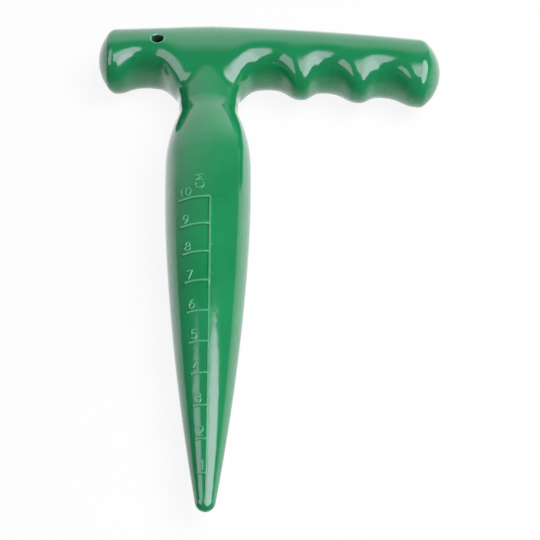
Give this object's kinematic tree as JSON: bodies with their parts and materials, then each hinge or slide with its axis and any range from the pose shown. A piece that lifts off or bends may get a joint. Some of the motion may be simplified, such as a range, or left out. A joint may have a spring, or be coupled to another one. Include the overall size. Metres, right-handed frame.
{
  "type": "hand dibber",
  "caption": "Moulded garden dibber: T grip with finger grooves and a hanging hole, over a bulged round spike with a raised depth scale.",
  "frame": {"origin": "under the middle of the bounding box, on the surface that the tool lies on", "axes": "+Y from the tip of the spike to the crown of the grip, +X towards the end with the finger grooves, +Z out of the face with the depth scale"},
  "size_m": [0.1194, 0.1833, 0.0285],
  "materials": {
    "green_plastic": "gloss"
  },
  "bodies": {
    "root": {"front_shell": "green_plastic", "rear_shell": "green_plastic"}
  },
  "joints": []
}
